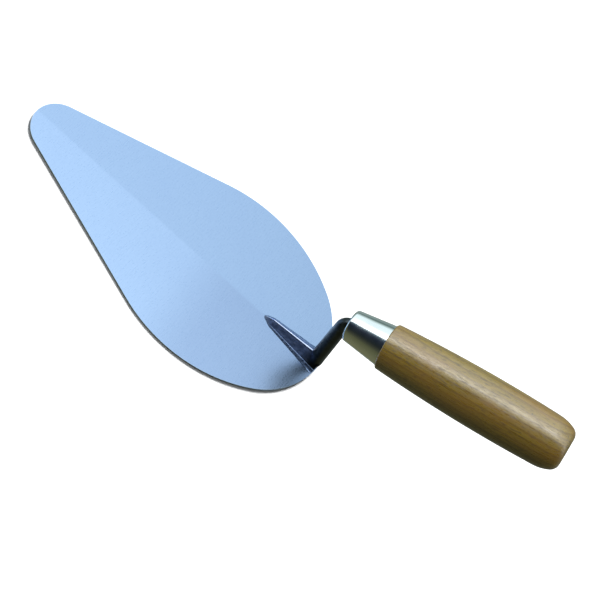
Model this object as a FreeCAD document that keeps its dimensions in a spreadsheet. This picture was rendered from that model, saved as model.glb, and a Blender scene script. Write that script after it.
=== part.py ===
import FreeCAD, Part
import math
import os

import Sketcher

# Brick trowel: a ridged steel blade, a bent tang welded to it, a tapered ferrule and a turned
# wooden handle. Millimetres and degrees.
#
# Row frame: the origin is on the blade's flat underside, on the centre line, halfway between
# nose and heel. +X runs from the nose to the heel and on towards the handle, +Z is up out of
# the blade's ridged face, and +Y completes the right-handed set.

DRIVING_SIZES = [
    ("blade_length", 225.0, "nose to heel, along the centre line"),
    ("blade_width", 120.0, "across the widest point"),
    ("nose_radius", 18.5, "rounding of the nose in plan"),
    ("belly_radius", 98.5, "arc that turns each flank towards the heel"),
    ("heel_step", 8.4, "heel arc's radius, less than half the width by this much"),
    ("heel_thickness", 2.6, "plate thickness at the ridge, at the heel"),
    ("nose_thickness", 1.6, "plate thickness at the ridge, at the nose"),
    ("flat_fall", 1.1, "drop of each ground flat, from the ridge to the widest point"),
    ("foot_length", 43.3, "tang foot along the blade"),
    ("foot_width", 15.6, "tang foot across its rear end"),
    ("foot_height", 8.5, "tang foot above the blade's ridge, at its rear end"),
    ("foot_nose_length", 5.8, "part of the foot that slopes down to its tip"),
    ("foot_nose_share", 0.43, "cross-section where that slope starts, as a share of the rear end"),
    ("foot_tip_share", 0.08, "cross-section of the foot's tip, as a share of its rear end"),
    ("foot_crest", 0.9, "narrow flat along the top of the foot, at its rear end"),
    ("foot_setback", 1.0, "rear face of the foot, in from the heel"),
    ("neck_diameter", 8.4, "round bar in the bend and the ferrule's mouth"),
    ("neck_root_diameter", 9.4, "neck at its lower end"),
    ("neck_root_height", 2.1, "where the neck starts to lean, above the ridge"),
    ("neck_overhang", 0.4, "back of the neck's lower end, out past the heel"),
    ("neck_lean", 7.4, "neck axis against the vertical, towards the nose, degrees"),
    ("knee_height", 54.7, "where the neck axis meets the handle axis, above the underside"),
    ("knee_inner_radius", 3.4, "inside of the bend between neck and handle"),
    ("handle_tilt", 21.0, "handle axis against the blade, degrees"),
    ("shank_length", 16.0, "parallel part of the tang past the bend"),
    ("spike_length", 62.0, "tapering part of the tang in the handle"),
    ("spike_end_diameter", 4.6, "tang at the small end of its taper"),
    ("point_length", 7.0, "point at the end of the tang"),
    ("point_diameter", 1.2, "blunt end of that point"),
    ("weld_leg", 1.5, "width of the fillet weld round the foot"),
    ("weld_rise", 0.8, "height of that weld against the foot"),
    ("ferrule_length", 24.6, "along the handle axis"),
    ("ferrule_front_diameter", 19.2, "outside, at the front"),
    ("ferrule_rear_diameter", 25.6, "outside, at the rear"),
    ("ferrule_wall", 0.9, "sheet thickness"),
    ("ferrule_rim_radius", 2.0, "outside rounding of the front rim"),
    ("ferrule_standoff", 0.1, "front face clear of the inside of the bend"),
    ("mouth_clearance", 0.2, "hole in the front face around the bar"),
    ("spigot_gap", 0.5, "front of the spigot to the ferrule's front wall"),
    ("spigot_clearance", 0.0, "spigot in the ferrule, radial: pressed on size for size"),
    ("bore_clearance", 0.0, "tang in the handle, radial: driven in size for size"),
    ("bore_end_gap", 1.5, "flat bottom of the bore past the tang's end"),
    ("shoulder_diameter", 28.6, "wood just behind the ferrule"),
    ("shoulder_round", 1.2, "rounding of that edge"),
    ("grip_diameter", 33.0, "thickest part of the handle"),
    ("grip_station", 90.5, "thickest part, behind the ferrule's front face"),
    ("handle_length", 140.5, "butt, behind the ferrule's front face"),
    ("butt_flat_diameter", 16.0, "flat on the butt"),
    ("butt_round", 6.0, "arc that leads into the butt's flat"),
    ("haunch_radius", 24.0, "arc between the grip and that arc"),
    ("trim_margin", 10.0, "waste cut away round the blade, beyond its length and width"),
]

# Sizes that follow from the driving ones. Each formula may use any alias above it.
DERIVED_SIZES = [
    ("half_length", "blade_length / 2"),
    ("nose_centre_x", "nose_radius - half_length"),
    ("belly_centre_y", "blade_width / 2 - belly_radius"),
    ("heel_radius", "blade_width / 2 - heel_step"),
    ("heel_centre_x", "half_length - heel_radius"),
    ("belly_centre_x",
     "heel_centre_x - sqrt((belly_radius - heel_radius) ^ 2 - belly_centre_y ^ 2)"),
    ("belly_to_nose", "belly_centre_x - nose_centre_x"),
    ("flank_angle", "atan2(belly_centre_y; belly_to_nose) / 1 deg"
     " + asin((belly_radius - nose_radius)"
     " / sqrt(belly_to_nose ^ 2 + belly_centre_y ^ 2)) / 1 deg"),
    ("flat_slope", "flat_fall / (blade_width / 2)"),
    ("ridge_slope", "(heel_thickness - nose_thickness) / blade_length"),
    ("foot_rear_x", "half_length - foot_setback"),
    ("foot_tip_x", "foot_rear_x - foot_length"),
    ("foot_nose_x", "foot_tip_x + foot_nose_length"),
    ("foot_rear_seat", "heel_thickness - ridge_slope * foot_setback"),
    ("foot_tip_seat", "foot_rear_seat - ridge_slope * foot_length"),
    ("foot_nose_seat", "foot_tip_seat + ridge_slope * foot_nose_length"),
    ("neck_start_height", "heel_thickness + neck_root_height"),
    ("neck_start_x", "half_length + neck_overhang - neck_root_diameter / 2"),
    ("knee_x", "neck_start_x - (knee_height - neck_start_height) * tan(neck_lean * 1 deg)"),
    ("knee_turn", "90 - handle_tilt + neck_lean"),
    ("knee_radius", "neck_diameter / 2 + knee_inner_radius"),
    ("knee_tangent", "knee_radius * tan(knee_turn / 2 * 1 deg)"),
    ("neck_run", "(knee_height - neck_start_height) / cos(neck_lean * 1 deg) - knee_tangent"),
    ("neck_back_rise", "neck_root_diameter / 2 * sin(neck_lean * 1 deg)"),
    ("shank_end", "knee_tangent + shank_length"),
    ("ferrule_front", "knee_tangent - knee_inner_radius * sin(knee_turn * 1 deg)"
     " + ferrule_standoff"),
    ("ferrule_rear", "ferrule_front + ferrule_length"),
    ("ferrule_taper", "(ferrule_rear_diameter - ferrule_front_diameter) / 2 / ferrule_length"),
    ("mouth_radius", "neck_diameter / 2 + knee_inner_radius * (1 - cos(knee_turn * 1 deg))"
     " + mouth_clearance"),
    ("rim_radius", "min(ferrule_rim_radius; ferrule_front_diameter / 2 - mouth_radius)"),
    ("ferrule_inside", "ferrule_front + ferrule_wall"),
    ("spigot_front", "max(ferrule_inside; knee_tangent) + spigot_gap"),
    ("spigot_rear_radius", "ferrule_rear_diameter / 2 - ferrule_wall - spigot_clearance"),
    ("spigot_front_radius", "spigot_rear_radius - ferrule_taper * (ferrule_rear - spigot_front)"),
    ("bore_root_radius", "neck_diameter / 2 + bore_clearance"),
    ("bore_end_radius", "spike_end_diameter / 2 + bore_clearance"),
    ("bore_neck", "shank_end + spike_length"),
    ("bore_bottom", "bore_neck + point_length + bore_end_gap"),
    ("grip_z", "ferrule_front + grip_station"),
    ("butt_z", "ferrule_front + handle_length"),
]

doc = FreeCAD.newDocument("brick_trowel")


def make_sheet():
    """The spreadsheet: one row for each size, its value in a cell that has the size's alias."""
    sheet = doc.addObject("Spreadsheet::Sheet", "Sizes")
    for row, (alias, value, meaning) in enumerate(DRIVING_SIZES, start=1):
        sheet.set(f"A{row}", meaning)
        sheet.set(f"B{row}", str(value))
        sheet.setAlias(f"B{row}", alias)
    for row, (alias, formula) in enumerate(DERIVED_SIZES, start=len(DRIVING_SIZES) + 2):
        sheet.set(f"A{row}", alias.replace("_", " "))
        sheet.set(f"B{row}", "=" + formula)
        sheet.setAlias(f"B{row}", alias)
    doc.recompute()
    return sheet


sizes = make_sheet()


def size(alias):
    """A size's present value, for the starting positions of sketch geometry."""
    value = sizes.get(alias)
    return float(getattr(value, "Value", value))


def sheet_names(formula):
    """The formula with each alias in it written as Sizes.alias."""
    aliases = {row[0] for row in DRIVING_SIZES + DERIVED_SIZES}
    words = []
    word = ""
    for letter in formula + " ":
        if letter.isalnum() or letter == "_":
            word += letter
            continue
        words.append("Sizes." + word if word in aliases else word)
        words.append(letter)
        word = ""
    return "".join(words).strip()


def bind(thing, **formulas):
    """Bind properties to sheet formulas; a double underscore stands for a dot."""
    for name, formula in formulas.items():
        thing.setExpression(name.replace("__", "."), sheet_names(formula))


def new_body(label):
    body = doc.addObject("PartDesign::Body", label.title().replace("_", ""))
    body.Label = label
    return body


def origin_plane(body, role):
    return next(plane for plane in body.Origin.OriginFeatures if plane.Role == role)


class Outline:
    """A sketch on one of a body's origin planes, whose dimensions come from the sheet."""

    def __init__(self, body, name, role):
        self.sketch = body.newObject("Sketcher::SketchObject", name)
        self.sketch.AttachmentSupport = [(origin_plane(body, role), "")]
        self.sketch.MapMode = "FlatFace"

    def line(self, start, end):
        points = [FreeCAD.Vector(x, y, 0) for x, y in (start, end)]
        return self.sketch.addGeometry(Part.LineSegment(*points), False)

    def arc(self, centre, radius, begin, finish):
        """An arc that runs anticlockwise between two angles in radians."""
        circle = Part.Circle(FreeCAD.Vector(*centre, 0), FreeCAD.Vector(0, 0, 1), radius)
        return self.sketch.addGeometry(Part.ArcOfCircle(circle, begin, finish), False)

    def circle(self, centre, radius):
        circle = Part.Circle(FreeCAD.Vector(*centre, 0), FreeCAD.Vector(0, 0, 1), radius)
        return self.sketch.addGeometry(circle, False)

    def fix(self, *constraint):
        return self.sketch.addConstraint(Sketcher.Constraint(*constraint))

    def dimension(self, kind, *place, by):
        """A driving dimension: of this kind, on this place, bound to the formula `by`."""
        now = self.measure(kind, *place)
        number = self.fix(kind, *place, now)
        self.sketch.setExpression(f"Constraints[{number}]", sheet_names(by))

    def measure(self, kind, *place):
        """What the starting geometry measures where a dimension goes."""
        if kind == "Radius":
            return self.sketch.Geometry[place[0]].Radius
        if kind == "Angle":
            first, last = (self.sketch.getPoint(place[0], end) for end in (1, 2))
            return math.atan2(last.y - first.y, last.x - first.x)
        point = self.sketch.getPoint(*place[-2:])
        return point.x if kind == "DistanceX" else point.y

    def place(self, line, end, across, up):
        """Both coordinates of one end of a line, from the sketch's origin."""
        self.dimension("DistanceX", -1, 1, line, end, by=across)
        self.dimension("DistanceY", -1, 1, line, end, by=up)

    def join(self, *pairs):
        """Coincident ends: each pair's first line ends where its second line starts."""
        for first, second in pairs:
            self.fix("Coincident", first, 2, second, 1)

    def polygon(self, corners):
        """Closed lines through corners, each given as a pair of formulas."""
        values = [(evaluate(across), evaluate(up)) for across, up in corners]
        lines = [self.line(*ends) for ends in zip(values, values[1:] + values[:1])]
        for number, (across, up) in zip(lines, corners):
            self.place(number, 1, across, up)
        self.join(*zip(lines, lines[1:] + lines[:1]))


def evaluate(formula):
    """A sheet formula's present value."""
    value = sizes.evalExpression(formula)
    return float(getattr(value, "Value", value))


def revolved(body, outline):
    """The outline turned once round the sketch's vertical axis."""
    turn = body.newObject("PartDesign::Revolution", outline.sketch.Name + "Turn")
    turn.Profile = outline.sketch
    turn.ReferenceAxis = (outline.sketch, ["V_Axis"])
    turn.Angle = 360
    outline.sketch.Visibility = False
    return turn


def lofted(body, name, sections):
    loft = body.newObject("PartDesign::AdditiveLoft", name)
    loft.Profile = sections[0].sketch
    loft.Sections = [section.sketch for section in sections[1:]]
    loft.Ruled = True
    return loft


def cross_section(body, name, station, corners):
    """A closed polygon across the blade, at the given distance along it."""
    outline = Outline(body, name, "YZ_Plane")
    bind(outline.sketch, AttachmentOffset__Base__z=station)
    outline.polygon(corners)
    return outline


def on_handle_axis(body):
    """Stand a body that is drawn about its own Z axis on the handle's axis, from the knee."""
    body.Placement = FreeCAD.Placement(
        FreeCAD.Vector(0, 0, 0), FreeCAD.Rotation(FreeCAD.Vector(0, 1, 0), 45)
    )
    bind(
        body,
        Placement__Base__x="knee_x",
        Placement__Base__z="knee_height",
        Placement__Rotation__Angle="90 - handle_tilt",
    )


def make_blade():
    """A plate with a flat underside and two ground flats that meet in the ridge, cut to outline."""
    body = new_body("blade")
    half = "blade_width / 2"
    ends = []
    for name, station, ridge in (
        ("NoseSection", "-half_length", "nose_thickness"),
        ("HeelSection", "half_length", "heel_thickness"),
    ):
        edge = f"{ridge} - flat_fall"
        corners = [(f"-{half}", "0"), (half, "0"), (half, edge), ("0", ridge), (f"-{half}", edge)]
        ends.append(cross_section(body, name, station, corners))
    plate = lofted(body, "RidgedPlate", ends)
    doc.recompute()

    outline = Outline(body, "BladeOutline", "XY_Plane")
    waste_x = "(half_length + trim_margin)"
    waste_y = f"({half} + trim_margin)"
    outline.polygon(
        [
            (f"-{waste_x}", f"-{waste_y}"),
            (waste_x, f"-{waste_y}"),
            (waste_x, waste_y),
            (f"-{waste_x}", waste_y),
        ]
    )
    flank = math.radians(size("flank_angle"))
    nose = (size("nose_centre_x"), 0)
    belly = (size("belly_centre_x"), size("belly_centre_y"))
    heel = (size("heel_centre_x"), 0)
    nose_radius = size("nose_radius")
    belly_radius = size("belly_radius")
    lean = (-math.sin(flank), math.cos(flank))
    flank_front = (nose[0] + nose_radius * lean[0], nose_radius * lean[1])
    flank_rear = (belly[0] + belly_radius * lean[0], belly[1] + belly_radius * lean[1])
    meet = math.atan2(belly[1] - heel[1], belly[0] - heel[0]) + math.pi
    quarter = math.pi / 2
    nose_arc = outline.arc(nose, nose_radius, quarter + flank, 3 * quarter - flank)
    upper_flank = outline.line(flank_front, flank_rear)
    upper_belly = outline.arc(belly, belly_radius, meet, quarter + flank)
    heel_arc = outline.arc(heel, size("heel_radius"), -meet, meet)
    lower_belly = outline.arc((belly[0], -belly[1]), belly_radius, -quarter - flank, -meet)
    lower_flank = outline.line((flank_front[0], -flank_front[1]), (flank_rear[0], -flank_rear[1]))
    outline.fix("Tangent", nose_arc, 1, upper_flank, 1)
    outline.fix("Tangent", nose_arc, 2, lower_flank, 1)
    outline.fix("Tangent", upper_flank, 2, upper_belly, 2)
    outline.fix("Tangent", lower_flank, 2, lower_belly, 1)
    outline.fix("Tangent", upper_belly, 1, heel_arc, 2)
    outline.fix("Tangent", lower_belly, 2, heel_arc, 1)
    outline.fix("PointOnObject", nose_arc, 3, -1)
    outline.fix("PointOnObject", heel_arc, 3, -1)
    outline.fix("Equal", upper_belly, lower_belly)
    outline.dimension("Radius", nose_arc, by="nose_radius")
    outline.dimension("DistanceX", -1, 1, nose_arc, 3, by="nose_centre_x")
    outline.dimension("Angle", upper_flank, by="flank_angle * 1 deg")
    outline.dimension("Angle", lower_flank, by="-flank_angle * 1 deg")
    outline.dimension("Radius", upper_belly, by="belly_radius")
    outline.dimension("DistanceY", -1, 1, upper_belly, 3, by="belly_centre_y")
    outline.dimension("Radius", heel_arc, by="heel_radius")
    trim = body.newObject("PartDesign::Pocket", "CutToOutline")
    trim.Profile = outline.sketch
    trim.Type = "ThroughAll"
    trim.Reversed = True
    doc.recompute()
    return body


def foot_corners(seat, share, widen="0", height=None, crest=None):
    """The foot's cross-section: a narrow-topped wedge seated on the two ground flats."""
    half = f"(foot_width / 2 * {share} + {widen})"
    edge = f"{seat} - flat_slope * {half}"
    top = f"{seat} + {height or f'foot_height * {share}'}"
    crest = crest or f"foot_crest / 2 * {share}"
    return [
        (f"-{half}", edge),
        ("0", seat),
        (half, edge),
        (crest, top),
        (f"-({crest})", top),
    ]


def make_tang():
    """Foot, neck, bend, shank and spike: one forging."""
    body = new_body("tang")
    tip, nose, rear = [
        cross_section(body, f"Foot{end}", f"foot_{end.lower()}_x",
                      foot_corners(f"foot_{end.lower()}_seat", share))
        for end, share in (("Tip", "foot_tip_share"), ("Nose", "foot_nose_share"), ("Rear", "1"))
    ]
    lofted(body, "Foot", [nose, rear])
    lofted(body, "FootNose", [tip, nose])
    doc.recompute()

    lean = math.radians(size("neck_lean"))
    tilt = math.radians(size("handle_tilt"))
    knee = (size("knee_x"), size("knee_height"))
    tangent = size("knee_tangent")
    start = (size("neck_start_x"), size("neck_start_height"))
    bend_start = (knee[0] + tangent * math.sin(lean), knee[1] - tangent * math.cos(lean))
    bend_end = (knee[0] + tangent * math.cos(tilt), knee[1] + tangent * math.sin(tilt))
    shank_end = size("shank_end")
    finish = (knee[0] + shank_end * math.cos(tilt), knee[1] + shank_end * math.sin(tilt))
    radius = size("knee_radius")
    centre = (bend_end[0] + radius * math.sin(tilt), bend_end[1] - radius * math.cos(tilt))
    path = Outline(body, "TangPath", "XZ_Plane")
    neck = path.line(start, bend_start)
    bend = path.arc(centre, radius, math.pi / 2 + tilt, math.pi + lean)
    shank = path.line(bend_end, finish)
    path.fix("Tangent", neck, 2, bend, 2)
    path.fix("Tangent", shank, 1, bend, 1)
    path.place(neck, 1, "neck_start_x", "neck_start_height")
    path.dimension("Angle", neck, by="(90 + neck_lean) * 1 deg")
    path.dimension("Radius", bend, by="knee_radius")
    path.place(
        shank,
        2,
        "knee_x + shank_end * cos(handle_tilt * 1 deg)",
        "knee_height + shank_end * sin(handle_tilt * 1 deg)",
    )
    path.dimension("Angle", shank, by="handle_tilt * 1 deg")

    bar = Outline(body, "TangBar", "XY_Plane")
    # The bar's end stands square to the neck, which leans from +Z towards -X.
    bar.sketch.AttachmentOffset = FreeCAD.Placement(
        FreeCAD.Vector(0, 0, 0), FreeCAD.Rotation(FreeCAD.Vector(0, -1, 0), 45)
    )
    bind(
        bar.sketch,
        AttachmentOffset__Base__x="neck_start_x",
        AttachmentOffset__Base__z="neck_start_height",
        AttachmentOffset__Rotation__Angle="neck_lean",
    )
    ring = bar.circle((0, 0), size("neck_diameter") / 2)
    bar.fix("Coincident", ring, 3, -1, 1)
    bar.dimension("Radius", ring, by="neck_diameter / 2")
    pipe = body.newObject("PartDesign::AdditivePipe", "NeckAndShank")
    pipe.Profile = bar.sketch
    pipe.Spine = path.sketch
    doc.recompute()

    base = body.newObject("PartDesign::AdditiveCylinder", "NeckBase")
    bind(
        base,
        Radius="neck_root_diameter / 2",
        Height="neck_root_height + neck_back_rise",
        Placement__Base__x="neck_start_x",
        Placement__Base__z="heel_thickness",
    )
    taper = body.newObject("PartDesign::AdditiveCone", "NeckTaper")
    taper.Placement = FreeCAD.Placement(
        FreeCAD.Vector(0, 0, 0), FreeCAD.Rotation(FreeCAD.Vector(0, -1, 0), 45)
    )
    bind(
        taper,
        Radius1="neck_root_diameter / 2",
        Radius2="neck_diameter / 2",
        Height="neck_run",
        Placement__Base__x="neck_start_x",
        Placement__Base__z="neck_start_height",
        Placement__Rotation__Angle="neck_lean",
    )
    doc.recompute()

    for name, station, near, far, length in (
        ("Spike", "shank_end", "neck_diameter", "spike_end_diameter", "spike_length"),
        ("Point", "bore_neck", "spike_end_diameter", "point_diameter", "point_length"),
    ):
        taper = body.newObject("PartDesign::AdditiveCone", name)
        taper.Placement = FreeCAD.Placement(
            FreeCAD.Vector(0, 0, 0), FreeCAD.Rotation(FreeCAD.Vector(0, 1, 0), 45)
        )
        bind(
            taper,
            Radius1=f"{near} / 2",
            Radius2=f"{far} / 2",
            Height=length,
            Placement__Base__x=f"knee_x + {station} * cos(handle_tilt * 1 deg)",
            Placement__Base__z=f"knee_height + {station} * sin(handle_tilt * 1 deg)",
            Placement__Rotation__Angle="90 - handle_tilt",
        )
        doc.recompute()
    return body


def make_foot_weld(tang):
    """The fillet weld along both sides of the foot and round its tip."""
    skirt = new_body("weld_skirt")
    inset = "foot_crest / 4"
    ends = []
    for name, station, seat, share in (
        ("WeldNose", "foot_nose_x", "foot_nose_seat", "foot_nose_share"),
        ("WeldRear", "foot_rear_x", "foot_rear_seat", "1"),
    ):
        top = f"(foot_width / 2 * {share} * (1 - weld_rise / (foot_height * {share})) - {inset})"
        corners = foot_corners(seat, share, widen="weld_leg", height="weld_rise", crest=top)
        ends.append(cross_section(skirt, name, station, corners))
    toe_seat = "(foot_tip_seat - ridge_slope * weld_leg)"
    toe = foot_corners(toe_seat, "foot_tip_share", widen="weld_leg", height="weld_rise / 2")
    ends.append(cross_section(skirt, "WeldToe", "foot_tip_x - weld_leg", toe))
    nose, rear, toe = ends
    lofted(skirt, "Skirt", [nose, rear])
    lofted(skirt, "SkirtNose", [toe, nose])
    doc.recompute()
    weld = doc.addObject("Part::Cut", "FootWeld")
    weld.Label = "foot_weld"
    weld.Base = skirt
    weld.Tool = tang
    doc.recompute()
    return weld


def make_ferrule():
    """A drawn cup that tapers towards the neck, with a hole for the bar in its rounded front."""
    body = new_body("ferrule")
    cup = Outline(body, "FerruleProfile", "XZ_Plane")
    taper = math.atan(size("ferrule_taper"))
    rim = size("rim_radius")
    front = size("ferrule_front")
    rear = size("ferrule_rear")
    wall = size("ferrule_wall")
    mouth = size("mouth_radius")
    rear_radius = size("ferrule_rear_diameter") / 2
    slope = size("ferrule_taper")
    # The rim's arc touches the front face and the tapered side.
    rim_z = front + rim
    side_at_rim = rear_radius - slope * (rear - rim_z)
    rim_r = side_at_rim - rim / math.cos(taper)
    touch = (rim_r + rim * math.cos(taper), rim_z - rim * math.sin(taper))
    inner_front = rear_radius - wall - slope * (rear - front - wall)
    front_face = cup.line((mouth, front), (rim_r, front))
    rim_arc = cup.arc((rim_r, rim_z), rim, -math.pi / 2, -taper)
    side = cup.line(touch, (rear_radius, rear))
    rear_face = cup.line((rear_radius, rear), (rear_radius - wall, rear))
    inside = cup.line((rear_radius - wall, rear), (inner_front, front + wall))
    inner_face = cup.line((inner_front, front + wall), (mouth, front + wall))
    hole = cup.line((mouth, front + wall), (mouth, front))
    cup.fix("Tangent", front_face, 2, rim_arc, 1)
    cup.fix("Tangent", side, 1, rim_arc, 2)
    cup.join(
        (side, rear_face),
        (rear_face, inside),
        (inside, inner_face),
        (inner_face, hole),
        (hole, front_face),
    )
    cup.fix("Horizontal", front_face)
    cup.fix("Horizontal", rear_face)
    cup.fix("Horizontal", inner_face)
    cup.fix("Vertical", hole)
    cup.fix("Parallel", side, inside)
    cup.dimension("Radius", rim_arc, by="rim_radius")
    cup.place(front_face, 1, "mouth_radius", "ferrule_front")
    cup.place(side, 2, "ferrule_rear_diameter / 2", "ferrule_rear")
    cup.dimension("Angle", side, by="90 deg - atan(ferrule_taper)")
    cup.dimension("DistanceX", -1, 1, rear_face, 2, by="ferrule_rear_diameter / 2 - ferrule_wall")
    cup.dimension("DistanceY", -1, 1, inner_face, 1, by="ferrule_front + ferrule_wall")
    revolved(body, cup)
    on_handle_axis(body)
    doc.recompute()
    return body


def circle_meeting(first, first_reach, second, second_reach):
    """The outer one of two points at the given distances from two centres."""
    across = (second[0] - first[0], second[1] - first[1])
    apart = math.hypot(*across)
    along = (apart ** 2 + first_reach ** 2 - second_reach ** 2) / (2 * apart)
    aside = math.sqrt(first_reach ** 2 - along ** 2)
    unit = (across[0] / apart, across[1] / apart)
    middle = (first[0] + along * unit[0], first[1] + along * unit[1])
    options = [
        (middle[0] - side * aside * unit[1], middle[1] + side * aside * unit[0])
        for side in (-1, 1)
    ]
    return max(options)


def make_handle():
    """Turned wood: a spigot for the ferrule, a swelling grip, a rounded butt and a blind bore."""
    body = new_body("handle")
    wood = Outline(body, "HandleProfile", "XZ_Plane")
    spigot_front = size("spigot_front")
    rear = size("ferrule_rear")
    shoulder = size("shoulder_diameter") / 2
    rounding = size("shoulder_round")
    grip = (size("grip_diameter") / 2, size("grip_z"))
    butt = (size("butt_flat_diameter") / 2, size("butt_z"))
    edge = (shoulder, rear + rounding)
    # The grip is an arc with its crown at the thickest point and its front end on the shoulder.
    rise = grip[0] - edge[0]
    reach = grip[1] - edge[1]
    grip_radius = (reach ** 2 + rise ** 2) / (2 * rise)
    grip_centre = (grip[0] - grip_radius, grip[1])
    end_centre = (butt[0], butt[1] - size("butt_round"))
    haunch_radius = size("haunch_radius")
    haunch_centre = circle_meeting(
        grip_centre, grip_radius - haunch_radius, end_centre, haunch_radius - size("butt_round")
    )

    def bearing(origin, point):
        return math.atan2(point[1] - origin[1], point[0] - origin[0])

    def away(origin, radius, angle):
        return (origin[0] + radius * math.cos(angle), origin[1] + radius * math.sin(angle))

    grip_front = bearing(grip_centre, edge)
    grip_rear = bearing(grip_centre, haunch_centre)
    haunch_rear = bearing(haunch_centre, end_centre)
    round_centre = (shoulder - rounding, rear + rounding)
    bore = (size("bore_root_radius"), size("bore_end_radius"))
    stations = (size("shank_end"), size("bore_neck"), size("bore_bottom"))

    spigot_face = wood.line((bore[0], spigot_front), (size("spigot_front_radius"), spigot_front))
    spigot = wood.line(
        (size("spigot_front_radius"), spigot_front), (size("spigot_rear_radius"), rear)
    )
    step = wood.line((size("spigot_rear_radius"), rear), (shoulder - rounding, rear))
    corner = wood.arc(round_centre, rounding, -math.pi / 2, 0)
    swell = wood.arc(grip_centre, grip_radius, grip_front, grip_rear)
    haunch = wood.arc(haunch_centre, haunch_radius, grip_rear, haunch_rear)
    lead = wood.arc(end_centre, size("butt_round"), haunch_rear, math.pi / 2)
    flat = wood.line(butt, (0, butt[1]))
    axis = wood.line((0, butt[1]), (0, stations[2]))
    bottom = wood.line((0, stations[2]), (bore[1], stations[2]))
    point_wall = wood.line((bore[1], stations[2]), (bore[1], stations[1]))
    spike_wall = wood.line((bore[1], stations[1]), (bore[0], stations[0]))
    shank_wall = wood.line((bore[0], stations[0]), (bore[0], spigot_front))
    wood.join(
        (spigot_face, spigot),
        (spigot, step),
        (flat, axis),
        (axis, bottom),
        (bottom, point_wall),
        (point_wall, spike_wall),
        (spike_wall, shank_wall),
        (shank_wall, spigot_face),
    )
    wood.fix("Tangent", step, 2, corner, 1)
    wood.fix("Coincident", corner, 2, swell, 1)
    wood.fix("Tangent", swell, 2, haunch, 1)
    wood.fix("Tangent", haunch, 2, lead, 1)
    wood.fix("Tangent", lead, 2, flat, 1)
    wood.fix("Horizontal", spigot_face)
    wood.fix("Horizontal", step)
    wood.fix("Horizontal", flat)
    wood.fix("Vertical", axis)
    wood.fix("Horizontal", bottom)
    wood.fix("Vertical", point_wall)
    wood.fix("Vertical", shank_wall)
    wood.place(spigot_face, 1, "bore_root_radius", "spigot_front")
    wood.dimension("DistanceX", -1, 1, spigot_face, 2, by="spigot_front_radius")
    wood.place(spigot, 2, "spigot_rear_radius", "ferrule_rear")
    wood.dimension("Radius", corner, by="shoulder_round")
    wood.place(corner, 2, "shoulder_diameter / 2", "ferrule_rear + shoulder_round")
    grip_rise = "(grip_diameter - shoulder_diameter) / 2"
    grip_reach = "(grip_z - ferrule_rear - shoulder_round)"
    arc_radius = f"(({grip_reach}) ^ 2 + ({grip_rise}) ^ 2) / (2 * {grip_rise})"
    wood.dimension("Radius", swell, by=arc_radius)
    wood.dimension("DistanceY", -1, 1, swell, 3, by="grip_z")
    wood.dimension("Radius", haunch, by="haunch_radius")
    wood.dimension("Radius", lead, by="butt_round")
    wood.place(flat, 1, "butt_flat_diameter / 2", "butt_z")
    wood.fix("PointOnObject", flat, 2, -2)
    wood.dimension("DistanceY", -1, 1, axis, 2, by="bore_bottom")
    wood.place(point_wall, 2, "bore_end_radius", "bore_neck")
    wood.dimension("DistanceY", -1, 1, spike_wall, 2, by="shank_end")
    revolved(body, wood)
    on_handle_axis(body)
    doc.recompute()
    return body


blade = make_blade()
tang = make_tang()
foot_weld = make_foot_weld(tang)
ferrule = make_ferrule()
handle = make_handle()
doc.recompute()

for item in doc.Objects:
    if "Invalid" in item.State or "Error" in item.State:
        raise RuntimeError(f"{item.Label} failed: {item.State}")
    if item.TypeId == "Sketcher::SketchObject" and item.solve() != 0:
        raise RuntimeError(f"sketch {item.Label} does not solve")

NODES = [blade, tang, foot_weld, ferrule, handle]
for node in NODES:
    if node.Shape.isNull() or not node.Shape.isValid():
        raise RuntimeError(f"{node.Label} has no valid shape")

os.makedirs("parts", exist_ok=True)
for node in NODES:
    node.Shape.exportStep(f"parts/{node.Label}.step")
    print(node.Label, len(node.Shape.Solids), round(node.Shape.Volume, 1))
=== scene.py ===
"""Looks for the brick trowel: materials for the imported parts, a white studio, and the camera.

Everything is in metres in the row frame: the blade's flat underside lies on z = 0, +X runs from the nose
to the handle and +Z comes out of the ridged face.
"""

import math

import bpy
from mathutils import Matrix, Vector, noise
from mathutils.bvhtree import BVHTree
from mathutils.geometry import convex_hull_2d


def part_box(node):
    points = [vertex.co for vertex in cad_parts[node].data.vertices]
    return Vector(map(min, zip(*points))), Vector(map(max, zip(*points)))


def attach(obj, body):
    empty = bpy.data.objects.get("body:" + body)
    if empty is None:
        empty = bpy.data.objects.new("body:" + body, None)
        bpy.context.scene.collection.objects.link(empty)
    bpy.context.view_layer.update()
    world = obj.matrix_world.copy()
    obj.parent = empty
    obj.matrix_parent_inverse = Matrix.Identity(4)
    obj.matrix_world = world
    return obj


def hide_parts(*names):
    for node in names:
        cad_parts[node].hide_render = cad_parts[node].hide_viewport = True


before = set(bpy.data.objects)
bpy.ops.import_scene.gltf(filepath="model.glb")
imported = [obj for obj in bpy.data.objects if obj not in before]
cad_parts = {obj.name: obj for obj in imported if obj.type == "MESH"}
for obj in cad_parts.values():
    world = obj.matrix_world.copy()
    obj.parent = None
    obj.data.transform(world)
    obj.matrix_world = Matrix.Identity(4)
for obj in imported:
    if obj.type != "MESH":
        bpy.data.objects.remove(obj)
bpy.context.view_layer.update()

MM = 0.001

# Camera: where it stands round the trowel, how far off, and how far it is turned about its line of sight.
CAMERA_AZIMUTH = math.radians(-8.68)
CAMERA_ELEVATION = math.radians(55.32)
CAMERA_ROLL = math.radians(49.60)
CAMERA_DISTANCE = 866.7 * MM
CAMERA_AIM = Vector((76.11, 8.19, 27.85)) * MM
CAMERA_FIELD = math.radians(22.985)
CAMERA_NEAREST = 0.01
CAMERA_FARTHEST = 50


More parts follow.
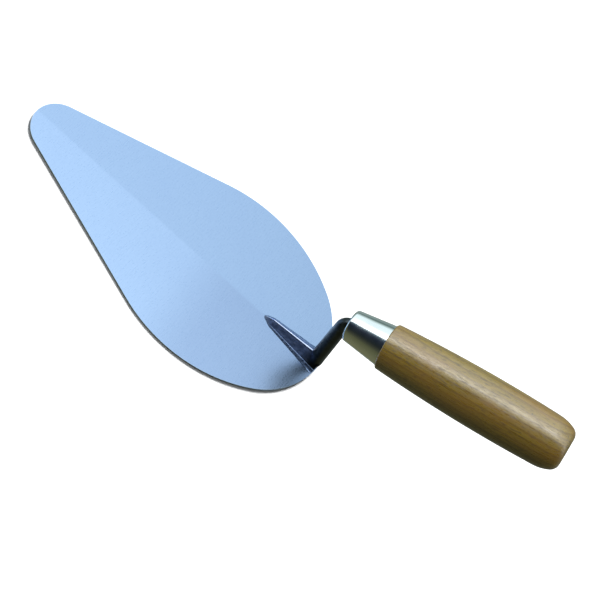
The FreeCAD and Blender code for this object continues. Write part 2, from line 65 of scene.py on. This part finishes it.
def surface_centre(node):
    """The middle of a node's surface, each face counted by its area."""
    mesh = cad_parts[node].data
    total = sum(face.area for face in mesh.polygons)
    return sum((face.center * face.area for face in mesh.polygons), Vector()) / total


# The handle and its ferrule are round about one line.
FERRULE_CENTRE = surface_centre("ferrule")
HANDLE_AXIS = (surface_centre("handle") - FERRULE_CENTRE).normalized()
HANDLE_TILT = math.asin(HANDLE_AXIS.z)


def along_handle(point):
    """How far a point is along the handle's line, from the ferrule's middle."""
    return (point - FERRULE_CENTRE).dot(HANDLE_AXIS)


FERRULE_REACH = min(along_handle(vertex.co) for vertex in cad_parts["ferrule"].data.vertices)
FERRULE_FRONT = FERRULE_CENTRE + HANDLE_AXIS * FERRULE_REACH

# The tang's foot is welded to the blade as far back as the weld goes, and its tip is the tang's front end.
FOOT_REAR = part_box("foot_weld")[1][0]
FOOT_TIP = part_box("tang")[0][0]

# ------------------------------------------------------------------------------------------------ node trees


class Tree:
    """A node tree, with one short call for each kind of node."""

    def __init__(self, tree):
        self.tree = tree

    def feed(self, socket, value):
        if isinstance(value, bpy.types.NodeSocket):
            self.tree.links.new(value, socket)
        else:
            socket.default_value = value

    def node(self, kind, inputs=None, **settings):
        made = self.tree.nodes.new("ShaderNode" + kind)
        for name, value in settings.items():
            setattr(made, name, value)
        for name, value in (inputs or {}).items():
            self.feed(made.inputs[name], value)
        return made

    def math(self, operation, *values):
        made = self.node("Math", operation=operation)
        for socket, value in zip(made.inputs, values):
            self.feed(socket, value)
        return made.outputs[0]

    def vector_math(self, operation, *values):
        made = self.node("VectorMath", operation=operation)
        for socket, value in zip(made.inputs, values):
            self.feed(socket, value)
        return made.outputs["Value" if operation in ("DOT_PRODUCT", "LENGTH", "DISTANCE") else "Vector"]

    def split(self, vector):
        return self.node("SeparateXYZ", {"Vector": vector}).outputs

    def join(self, x, y, z):
        return self.node("CombineXYZ", {"X": x, "Y": y, "Z": z}).outputs[0]

    def mapping(self, vector, rotation=(0, 0, 0), scale=(1, 1, 1)):
        return self.node("Mapping", {"Vector": vector, "Rotation": rotation, "Scale": scale}).outputs[0]

    def noise(self, vector, scale, detail=3.0, roughness=0.5):
        inputs = {"Vector": vector, "Scale": scale, "Detail": detail, "Roughness": roughness}
        return self.node("TexNoise", inputs).outputs[0]

    def ramp(self, factor, stops):
        """A colour ramp. Each stop is a position and a colour or a grey."""
        made = self.node("ValToRGB", {"Fac": factor})
        elements = made.color_ramp.elements
        while len(elements) < len(stops):
            elements.new(1.0)
        for element, (position, colour) in zip(elements, stops):
            element.position = position
            rgb = colour if isinstance(colour, tuple) else (colour, colour, colour)
            element.color = (*rgb, 1.0)
        return made.outputs[0]

    def range(self, value, low, high, to_low=0.0, to_high=1.0, smooth=True):
        """The value's stretch from low to high, carried over to another and held at its ends."""
        kind = "SMOOTHSTEP" if smooth else "LINEAR"
        inputs = {"Value": value, "From Min": low, "From Max": high, "To Min": to_low, "To Max": to_high}
        return self.node("MapRange", inputs, interpolation_type=kind).outputs[0]

    def mix(self, factor, a, b):
        made = self.node("Mix", data_type="RGBA")
        self.feed(made.inputs["Factor"], factor)
        self.feed(made.inputs[6], a if isinstance(a, bpy.types.NodeSocket) else (*a, 1.0))
        self.feed(made.inputs[7], b if isinstance(b, bpy.types.NodeSocket) else (*b, 1.0))
        return made.outputs[2]

    def bump(self, height, distance, strength=1.0, normal=None):
        inputs = {"Height": height, "Distance": distance, "Strength": strength}
        if normal is not None:
            inputs["Normal"] = normal
        return self.node("Bump", inputs).outputs[0]

    def place(self):
        """Where a point is in the row frame."""
        return self.node("TexCoord").outputs["Object"]

    def edge_mask(self, radius, low, high):
        """1 along an object's sharp edges, out to about the radius, and 0 on its faces."""
        rounded = self.node("Bevel", {"Radius": radius}, samples=8).outputs[0]
        plain = self.node("NewGeometry").outputs["Normal"]
        return self.range(self.vector_math("DOT_PRODUCT", rounded, plain), high, low)


def new_material(name, **plain):
    """A Principled material, and its tree. plain gives the sockets that are the same all over."""
    made = bpy.data.materials.new(name)
    made.use_nodes = True
    tree = Tree(made.node_tree)
    tree.surface = made.node_tree.nodes["Principled BSDF"]
    for socket, value in plain.items():
        tree.surface.inputs[socket.replace("_", " ")].default_value = value
    return made, tree


def finish_surface(tree, colour, roughness, normal):
    tree.feed(tree.surface.inputs["Base Color"], colour)
    tree.feed(tree.surface.inputs["Roughness"], roughness)
    tree.feed(tree.surface.inputs["Normal"], normal)


def dress(node, material):
    """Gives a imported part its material."""
    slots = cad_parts[node].data.materials
    slots.clear()
    slots.append(material)


# ------------------------------------------------------------------------------------------------- materials


def ground_steel():
    """The blade's plate: pale blue-grey steel, ground across its width, with faint painted shade on one half.
    """
    dull = (0.315, 0.445, 0.64)
    bright = (0.36, 0.49, 0.69)
    cloudy = (0.32, 0.445, 0.65)
    # Painted shade: one half of the plate is darkened towards this colour.
    half_shade_colour = (0.0, 0.0, 0.08)
    # Pale steel for the edges: partly wear, partly a painted highlight.
    wear_and_highlight_colour = (0.70, 0.78, 0.86)
    half_shade_start = 5 * MM
    half_shade_full = 45 * MM
    half_shade_share = 0.15
    half_border = 1 * MM
    material, tree = new_material("ground_steel", Metallic=1.0)
    place = tree.place()
    streaks = tree.noise(tree.mapping(place, scale=(1, 0.06, 1)), 2600, detail=4, roughness=0.7)
    speckle = tree.noise(place, 900, detail=5, roughness=0.65)
    clouds = tree.noise(place, 28, detail=3)
    edge = tree.edge_mask(0.5 * MM, 0.75, 0.995)
    tone = tree.math("ADD", tree.math("MULTIPLY", streaks, 0.6), tree.math("MULTIPLY", speckle, 0.4))
    colour = tree.ramp(tone, [(0.30, dull), (0.72, bright)])
    colour = tree.mix(tree.range(clouds, 0.35, 0.7, 0.0, 0.3), colour, cloudy)
    x, y, _ = tree.split(place)
    # Painted shade on the −Y half of the plate, deepening from near the nose backwards.
    shaded_half = tree.range(y, -half_border, half_border, half_shade_share, 0.0)
    half_shade = tree.math("MULTIPLY", tree.range(x, half_shade_start, half_shade_full), shaded_half)
    colour = tree.mix(half_shade, colour, half_shade_colour)
    # Painted highlight along the plate's edges, partly also wear.
    colour = tree.mix(tree.math("MULTIPLY", edge, 0.5), colour, wear_and_highlight_colour)
    roughness = tree.range(tone, 0.3, 0.7, 0.26, 0.32)
    normal = tree.bump(tone, 0.01 * MM, 0.07)
    finish_surface(tree, colour, roughness, normal)
    return material


def foot_mask(tree, x, z):
    """1 on the tang's foot and 0 on its neck."""
    fade_start = FOOT_REAR - 12 * MM
    fade_end = FOOT_REAR - 3 * MM
    foot_top = 10 * MM
    neck_bottom = 14 * MM
    before_neck = tree.range(x, fade_start, fade_end, 1.0, 0.0)
    below_neck = tree.range(z, foot_top, neck_bottom, 1.0, 0.0)
    return tree.math("MULTIPLY", before_neck, below_neck)


def filed_foot(tree, place, x, facing, grain):
    """The foot's colour: filed steel with scratch lines along it that are painted bright as glints, painted
    shade on the flank that faces +Y, and pale at its tip.
    """
    dull = (0.20, 0.29, 0.55)
    bright = (0.34, 0.46, 0.80)
    # Bright streaks: filing scratch lines, painted bright as glints.
    scratch_glint_colour = (0.55, 0.60, 0.90)
    # Painted shade for the flank that faces +Y.
    painted_shade_flank = (0.08, 0.13, 0.30)
    pale_tip = (0.62, 0.76, 0.95)
    tip_fade = 6 * MM
    scratch_glints = tree.noise(tree.mapping(place, scale=(0.10, 1, 1)), 1400, detail=2, roughness=0.6)
    colour = tree.ramp(grain, [(0.3, dull), (0.7, bright)])
    # Scratch lines along the foot, painted bright as glints.
    colour = tree.mix(tree.range(scratch_glints, 0.60, 0.68, 0.0, 0.6), colour, scratch_glint_colour)
    # Painted shade on the foot's flank that faces +Y.
    colour = tree.mix(tree.range(facing[1], 0.2, 0.5, 0.0, 0.6), colour, painted_shade_flank)
    return tree.mix(tree.range(x, FOOT_TIP, FOOT_TIP + tip_fade, 0.7, 0.0), colour, pale_tip)


def forged_steel():
    """The tang: forged steel, dark on the neck, filed and hammered on the foot, and bright along its crest and
    the foot's edges, partly from polish and wear and partly as painted highlights.
    """
    black = (0.035, 0.045, 0.050)
    grey = (0.070, 0.085, 0.095)
    # Pale steel for the foot's edges: partly wear, partly a painted highlight.
    wear_and_highlight_colour = (0.62, 0.72, 0.90)
    # The crest's colour: polished steel, also painted bright as a highlight.
    crest_polish_and_highlight = (0.68, 0.76, 0.95)
    material, tree = new_material("forged_steel", Metallic=1.0)
    place = tree.place()
    x, _, z = tree.split(place)
    facing = tree.split(tree.node("NewGeometry").outputs["Normal"])
    grain = tree.noise(place, 420, detail=5, roughness=0.6)
    dents = tree.noise(tree.mapping(place, scale=(0.6, 1, 1)), 260, detail=2)
    foot = foot_mask(tree, x, z)
    crest = tree.math("MULTIPLY", foot, tree.range(facing[2], 0.90, 0.95))
    edge = tree.edge_mask(0.4 * MM, 0.80, 0.99)
    dark = tree.ramp(grain, [(0.3, black), (0.7, grey)])
    colour = tree.mix(foot, dark, filed_foot(tree, place, x, facing, grain))
    # Painted highlight on the foot's edges, partly also wear.
    wear_and_highlight = tree.math("MULTIPLY", edge, tree.math("MULTIPLY", foot, 0.5))
    colour = tree.mix(wear_and_highlight, colour, wear_and_highlight_colour)
    # Painted highlight along the foot's crest, partly also polish.
    colour = tree.mix(crest, colour, crest_polish_and_highlight)
    rough = tree.math("ADD", tree.range(grain, 0.3, 0.7, 0.28, 0.38), tree.math("MULTIPLY", foot, 0.14))
    roughness = tree.math("SUBTRACT", rough, tree.math("MULTIPLY", crest, 0.24))
    hammered = tree.math("MULTIPLY", dents, tree.math("MULTIPLY_ADD", foot, 0.9, 0.1))
    normal = tree.bump(hammered, 0.8 * MM, 0.8, tree.bump(grain, 0.04 * MM, 0.5))
    finish_surface(tree, colour, roughness, normal)
    return material


def weld_metal():
    """The weld round the tang's foot: dressed steel, darker than the blade and a little lumpy."""
    dull = (0.24, 0.34, 0.56)
    bright = (0.36, 0.48, 0.72)
    material, tree = new_material("weld_metal", Metallic=1.0)
    place = tree.place()
    grain = tree.noise(place, 700, detail=4)
    lumps = tree.noise(place, 300, detail=2)
    colour = tree.ramp(grain, [(0.3, dull), (0.7, bright)])
    roughness = tree.range(grain, 0.3, 0.7, 0.26, 0.36)
    normal = tree.bump(lumps, 0.08 * MM, 0.4, tree.bump(grain, 0.02 * MM, 0.4))
    finish_surface(tree, colour, roughness, normal)
    return material


def nickel_plate():
    """The ferrule: bright nickel plate, a little wavy, with fine polishing lines, smears and painted shade
    darkening its front rim.
    """
    smeared = (0.72, 0.77, 0.77)
    clean = (0.81, 0.85, 0.85)
    # Painted shade for the ferrule's front rim.
    painted_shade_rim = (0.30, 0.33, 0.30)
    rim_start = 0.2 * MM
    rim_end = 1.1 * MM
    material, tree = new_material("nickel_plate", Metallic=1.0)
    place = tree.place()
    lines = tree.noise(tree.mapping(place, scale=(0.15, 1, 1)), 1500, detail=3)
    smears = tree.noise(place, 90, detail=3)
    waves = tree.noise(place, 110, detail=1)
    colour = tree.ramp(smears, [(0.3, smeared), (0.7, clean)])
    from_front = tree.vector_math("SUBTRACT", place, tuple(FERRULE_FRONT))
    behind_front = tree.vector_math("DOT_PRODUCT", from_front, tuple(HANDLE_AXIS))
    # Painted shade darkening the front rim.
    colour = tree.mix(tree.range(behind_front, rim_start, rim_end, 0.75, 0.0), colour, painted_shade_rim)
    roughness = tree.range(smears, 0.3, 0.7, 0.12, 0.19)
    normal = tree.bump(waves, 0.12 * MM, 0.35, tree.bump(lines, 0.01 * MM, 0.3))
    finish_surface(tree, colour, roughness, normal)
    return material


# Places in the handle, from the ferrule's middle: x runs along the handle and z up across it.
RING_WIDTH = 3.0 * MM
RING_WANDER = 5.0 * MM
PITH = Vector((0, -34, -20)) * MM
PORE = Vector((102.0, -1.3, 16.2)) * MM
PORE_SIZE = 0.7 * MM


def growth_rings(tree, place):
    """The rings round the pith, from 0 in pale spring wood to 1 in the dark end of a year."""
    _, y, z = tree.split(place)
    wander = tree.noise(tree.mapping(place, scale=(0.12, 1, 1)), 90, detail=2)
    across = tree.join(0.0, tree.math("SUBTRACT", y, PITH.y), tree.math("SUBTRACT", z, PITH.z))
    radius = tree.vector_math("LENGTH", across)
    radius = tree.math("ADD", radius, tree.math("MULTIPLY", wander, RING_WANDER))
    year = tree.math("FRACT", tree.math("DIVIDE", radius, RING_WIDTH))
    return tree.ramp(year, [(0.0, 0.0), (0.6, 0.2), (0.88, 1.0), (1.0, 0.0)])


def varnished_beech():
    """The handle: beech turned along the grain, with flecks, rings and a dark pore, under glossy varnish."""
    spring_wood = (0.37, 0.245, 0.035)
    year_end = (0.16, 0.080, 0.006)
    dark_fibre = (0.19, 0.130, 0.012)
    dark_fleck = (0.10, 0.060, 0.010)
    orange_patch = (0.33, 0.165, 0.030)
    open_pore = (0.05, 0.04, 0.02)
    material, tree = new_material("varnished_beech", Coat_Weight=1.0, Coat_IOR=2.1,
                                  Specular_IOR_Level=0.1)
    place = tree.vector_math("SUBTRACT", tree.place(), tuple(FERRULE_CENTRE))
    place = tree.mapping(place, rotation=(0, HANDLE_TILT, 0))
    rings = growth_rings(tree, place)
    flecks = tree.noise(tree.mapping(place, scale=(0.18, 1, 1)), 1300, detail=2, roughness=0.6)
    fibres = tree.noise(tree.mapping(place, scale=(0.04, 1, 1)), 2200, detail=3, roughness=0.7)
    patches = tree.noise(tree.mapping(place, scale=(0.30, 1, 1)), 70, detail=3)
    colour = tree.mix(tree.math("MULTIPLY", rings, 0.85), spring_wood, year_end)
    colour = tree.mix(tree.range(fibres, 0.35, 0.7, 0.0, 0.6), colour, dark_fibre)
    colour = tree.mix(tree.range(flecks, 0.54, 0.66, 0.0, 0.75), colour, dark_fleck)
    colour = tree.mix(tree.range(patches, 0.42, 0.7, 0.0, 0.55), colour, orange_patch)
    from_pore = tree.vector_math("DISTANCE", place, tuple(PORE))
    pore = tree.range(from_pore, 0.4 * PORE_SIZE, PORE_SIZE, 0.8, 0.0)
    colour = tree.mix(pore, colour, open_pore)
    roughness = tree.range(fibres, 0.3, 0.7, 0.40, 0.55)
    normal = tree.bump(fibres, 0.03 * MM, 0.4, tree.bump(flecks, 0.05 * MM, 0.4))
    finish_surface(tree, colour, roughness, normal)
    tree.feed(tree.surface.inputs["Coat Roughness"], tree.range(flecks, 0.35, 0.65, 0.26, 0.46))
    tree.feed(tree.surface.inputs["Coat Normal"], tree.bump(flecks, 0.08 * MM, 0.6))
    return material


# --------------------------------------------------------------------------------------------------- weld bead

# The fillet's width and rise are largest at the heel. It runs in under the foot's flank, and is hollow
# only in its last stretch before the heel.
BEAD_WIDTH = 1.1 * MM
BEAD_TIP_WIDTH = 0.3 * MM
BEAD_RISE = 1.7 * MM
BEAD_TIP_RISE_SHARE = 0.3
BEAD_UNDER_FOOT = 0.85
BEAD_STEP = 0.5 * MM
BEAD_EASING = 3
BEAD_CURVE = 8
BEAD_UNEVEN = 0.25
BEAD_UNEVEN_STEP = 0.15
BEAD_LIP_LENGTH = 11 * MM
TOUCH = 0.02 * MM
WELL_ABOVE = 1.0


def blade_height(tree, x, y):
    """How high the blade's ridged face is over a point of its plan."""
    return tree.ray_cast(Vector((x, y, WELL_ABOVE)), Vector((0, 0, -1)))[0].z


def foot_plan(blade):
    """The foot's outline on the blade: from its rear corner, round the tip, to its other rear corner."""
    points = [vertex.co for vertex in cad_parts["tang"].data.vertices]
    seat = [point.xy for point in points if point.x < FOOT_REAR + TOUCH
            and point.z < blade_height(blade, point.x, point.y) + TOUCH]
    side = sorted((seat[index] for index in convex_hull_2d(seat)), key=lambda point: -point.x)
    side = [point for point in side if point.y < 0]
    return side + [Vector((point.x, -point.y)) for point in reversed(side)]


def evenly(corners, step):
    """Points along a run of straight lines, about a step apart."""
    walked = [corners[0]]
    for start, end in zip(corners, corners[1:]):
        count = max(1, round((end - start).length / step))
        walked += [start.lerp(end, part / count) for part in range(1, count + 1)]
    return walked


def rounded(points, passes):
    """The same points with their corners eased, and the two ends kept."""
    for _ in range(passes):
        eased = [(a + b + c) / 3 for a, b, c in zip(points, points[1:], points[2:])]
        points = [points[0]] + eased + [points[-1]]
    return points


def weld_section(across, rise, hollow):
    """The bead's slope, from the blade to the foot's flank: pairs of distance out and height."""
    flank = -rise * BEAD_UNDER_FOOT
    for step in range(BEAD_CURVE + 1):
        part = step / BEAD_CURVE
        bend = hollow * part * (1 - part)
        yield (1 - part - bend) * across + (part - bend) * flank, (part - bend) * rise
    yield flank, 0.0


def make_weld_bead(material):
    """The fillet round the foot, from the heel round the tip and back, as one closed solid."""
    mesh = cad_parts["blade"].data
    blade = BVHTree.FromPolygons([vertex.co for vertex in mesh.vertices],
                                 [face.vertices[:] for face in mesh.polygons])
    path = rounded(evenly(foot_plan(blade), BEAD_STEP), BEAD_EASING)
    tip = min(spot.x for spot in path)
    points, faces = [], []
    for index, spot in enumerate(path):
        along = path[min(index + 1, len(path) - 1)] - path[max(index - 1, 0)]
        outward = Vector((-along.y, along.x)).normalized()
        heel = (spot.x - tip) / (FOOT_REAR - tip)
        size = 1 + BEAD_UNEVEN * noise.noise(Vector((index * BEAD_UNEVEN_STEP, 0, 0)))
        across = size * (BEAD_TIP_WIDTH + (BEAD_WIDTH - BEAD_TIP_WIDTH) * heel)
        rise = BEAD_RISE * (BEAD_TIP_RISE_SHARE + (1 - BEAD_TIP_RISE_SHARE) * heel)
        hollow = max(0.0, 1 - (FOOT_REAR - spot.x) / BEAD_LIP_LENGTH)
        for out, up in weld_section(across, rise, hollow):
            place = spot + outward * out
            points.append((place.x, place.y, blade_height(blade, place.x, place.y) + up))
    ring = BEAD_CURVE + 2
    for start in range(0, len(points) - ring, ring):
        for corner in range(ring):
            after = (corner + 1) % ring
            faces.append((start + corner, start + after, start + ring + after, start + ring + corner))
    faces.append(tuple(reversed(range(ring))))
    faces.append(tuple(range(len(points) - ring, len(points))))
    made = bpy.data.meshes.new("weld_bead")
    made.from_pydata(points, [], faces)
    made.validate()
    for face in made.polygons:
        face.use_smooth = len(face.vertices) == 4
    made.materials.append(material)
    bead = bpy.data.objects.new("weld_bead", made)
    bpy.context.scene.collection.objects.link(bead)
    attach(bead, "root")
    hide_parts("foot_weld")


# ---------------------------------------------------------------------------------------------------- studio


def make_camera():
    """The camera on its sphere round the aim point, turned about its own line of sight."""
    level = math.cos(CAMERA_ELEVATION)
    back = Vector((math.sin(CAMERA_AZIMUTH) * level, -math.cos(CAMERA_AZIMUTH) * level,
                   math.sin(CAMERA_ELEVATION)))
    side = Vector((0, 0, 1)).cross(back).normalized()
    up = back.cross(side)
    right = side * math.cos(CAMERA_ROLL) + up * math.sin(CAMERA_ROLL)
    top = back.cross(right)
    turn = Matrix((right, top, back)).transposed()
    camera = bpy.data.objects.new("camera", bpy.data.cameras.new("camera"))
    camera.matrix_world = Matrix.Translation(CAMERA_AIM + back * CAMERA_DISTANCE) @ turn.to_4x4()
    camera.data.sensor_fit = "HORIZONTAL"
    camera.data.angle = CAMERA_FIELD
    camera.data.clip_start = CAMERA_NEAREST
    camera.data.clip_end = CAMERA_FARTHEST
    bpy.context.scene.collection.objects.link(camera)
    bpy.context.scene.camera = camera


# What stands round the trowel, by the angle from the horizon in front, up over the top and down behind.
# Light is as a share of STUDIO_STRENGTH.
STUDIO_STRENGTH = 8.0
STUDIO = [
    (-90, (0.027, 0.027, 0.015)),
    (-16, (0.0130, 0.0135, 0.0070)),
    (0, (0.0060, 0.0065, 0.0045)),
    (15, (0.0020, 0.0026, 0.0026)),
    (50, (0.0012, 0.0020, 0.0040)),
    (70, (0.005, 0.009, 0.013)),
    (77, (0.025, 0.040, 0.050)),
    (83, (0.43, 0.44, 0.44)),
    (104, (0.42, 0.42, 0.42)),
    (111, (0.190, 0.205, 0.215)),
    (120, (0.145, 0.158, 0.168)),
    (128, (0.135, 0.150, 0.162)),
    (155, (0.130, 0.150, 0.154)),
    (169, (0.040, 0.052, 0.050)),
    (176, (0.014, 0.021, 0.020)),
    (188, (0.036, 0.046, 0.045)),
    (240, (0.040, 0.046, 0.040)),
]
# The light falls off towards the handle's end, between two direction cosines along X, to a share.
STUDIO_FALL_START = -0.05
STUDIO_FALL_END = 0.30
STUDIO_FALL_SHARE = 0.55
BACKDROP = (0.95, 0.95, 0.95)


def make_studio_light():
    """Soft light from a wide ceiling panel and the wall behind, and a dark room in front."""
    world = bpy.data.worlds.new("studio")
    bpy.context.scene.world = world
    world.use_nodes = True
    tree = Tree(world.node_tree)
    background = world.node_tree.nodes["Background"]
    x, y, z = tree.split(tree.node("TexCoord").outputs["Generated"])
    lowest = STUDIO[0][0]
    start = math.radians(lowest)
    angle = tree.math("ARCTAN2", z, tree.math("MULTIPLY", y, -1.0))
    angle = tree.math("WRAP", angle, start + math.tau, start)
    turned = tree.range(angle, start, start + math.tau, smooth=False)
    colour = tree.ramp(turned, [((degrees - lowest) / 360, light) for degrees, light in STUDIO])
    weakest = STUDIO_STRENGTH * STUDIO_FALL_SHARE
    strength = tree.range(x, STUDIO_FALL_START, STUDIO_FALL_END, STUDIO_STRENGTH, weakest)
    seen = tree.node("LightPath").outputs["Is Camera Ray"]
    unseen = tree.math("SUBTRACT", 1.0, seen)
    tree.feed(background.inputs["Color"], tree.mix(seen, colour, BACKDROP))
    tree.feed(background.inputs["Strength"], tree.math("ADD", tree.math("MULTIPLY", strength, unseen), seen))


FLOOR_SIZE = 12.0
FLOOR_DROP = 0.02 * MM
FLOOR_GREY = (0.22, 0.22, 0.22, 1.0)
FLOOR_LIGHT = 32.0
FLOOR_LIGHT_HEIGHT = math.radians(34)
FLOOR_LIGHT_SPREAD = math.radians(26)


def make_floor():
    """A plain floor, just under the blade. It isn't mirrored in the metal and casts no shadow."""
    bpy.ops.mesh.primitive_plane_add(size=FLOOR_SIZE, location=(0, 0, -FLOOR_DROP))
    floor = bpy.context.object
    floor.name = "floor"
    material, tree = new_material("floor", Roughness=0.9, Specular_IOR_Level=0.0)
    tree.surface.inputs["Base Color"].default_value = FLOOR_GREY
    floor.data.materials.append(material)
    floor.visible_glossy = False
    floor.visible_diffuse = False
    floor.visible_shadow = False
    return floor


def make_floor_light(floor):
    """A low light from behind that burns the floor out to white, but for the blade's own thin shadow."""
    lamp = bpy.data.lights.new("floor_light", "SUN")
    lamp.energy = FLOOR_LIGHT
    lamp.angle = FLOOR_LIGHT_SPREAD
    light = bpy.data.objects.new("floor_light", lamp)
    light.rotation_euler = (FLOOR_LIGHT_HEIGHT - math.pi / 2, 0, 0)
    bpy.context.scene.collection.objects.link(light)
    lit = bpy.data.collections.new("lit_by_floor_light")
    lit.objects.link(floor)
    light.light_linking.receiver_collection = lit
    shading = bpy.data.collections.new("shading_the_floor")
    shading.objects.link(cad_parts["blade"])
    light.light_linking.blocker_collection = shading


make_camera()
make_studio_light()
make_floor_light(make_floor())
bpy.context.scene.view_settings.view_transform = "Standard"

dress("blade", ground_steel())
dress("tang", forged_steel())
make_weld_bead(weld_metal())
dress("ferrule", nickel_plate())
dress("handle", varnished_beech())
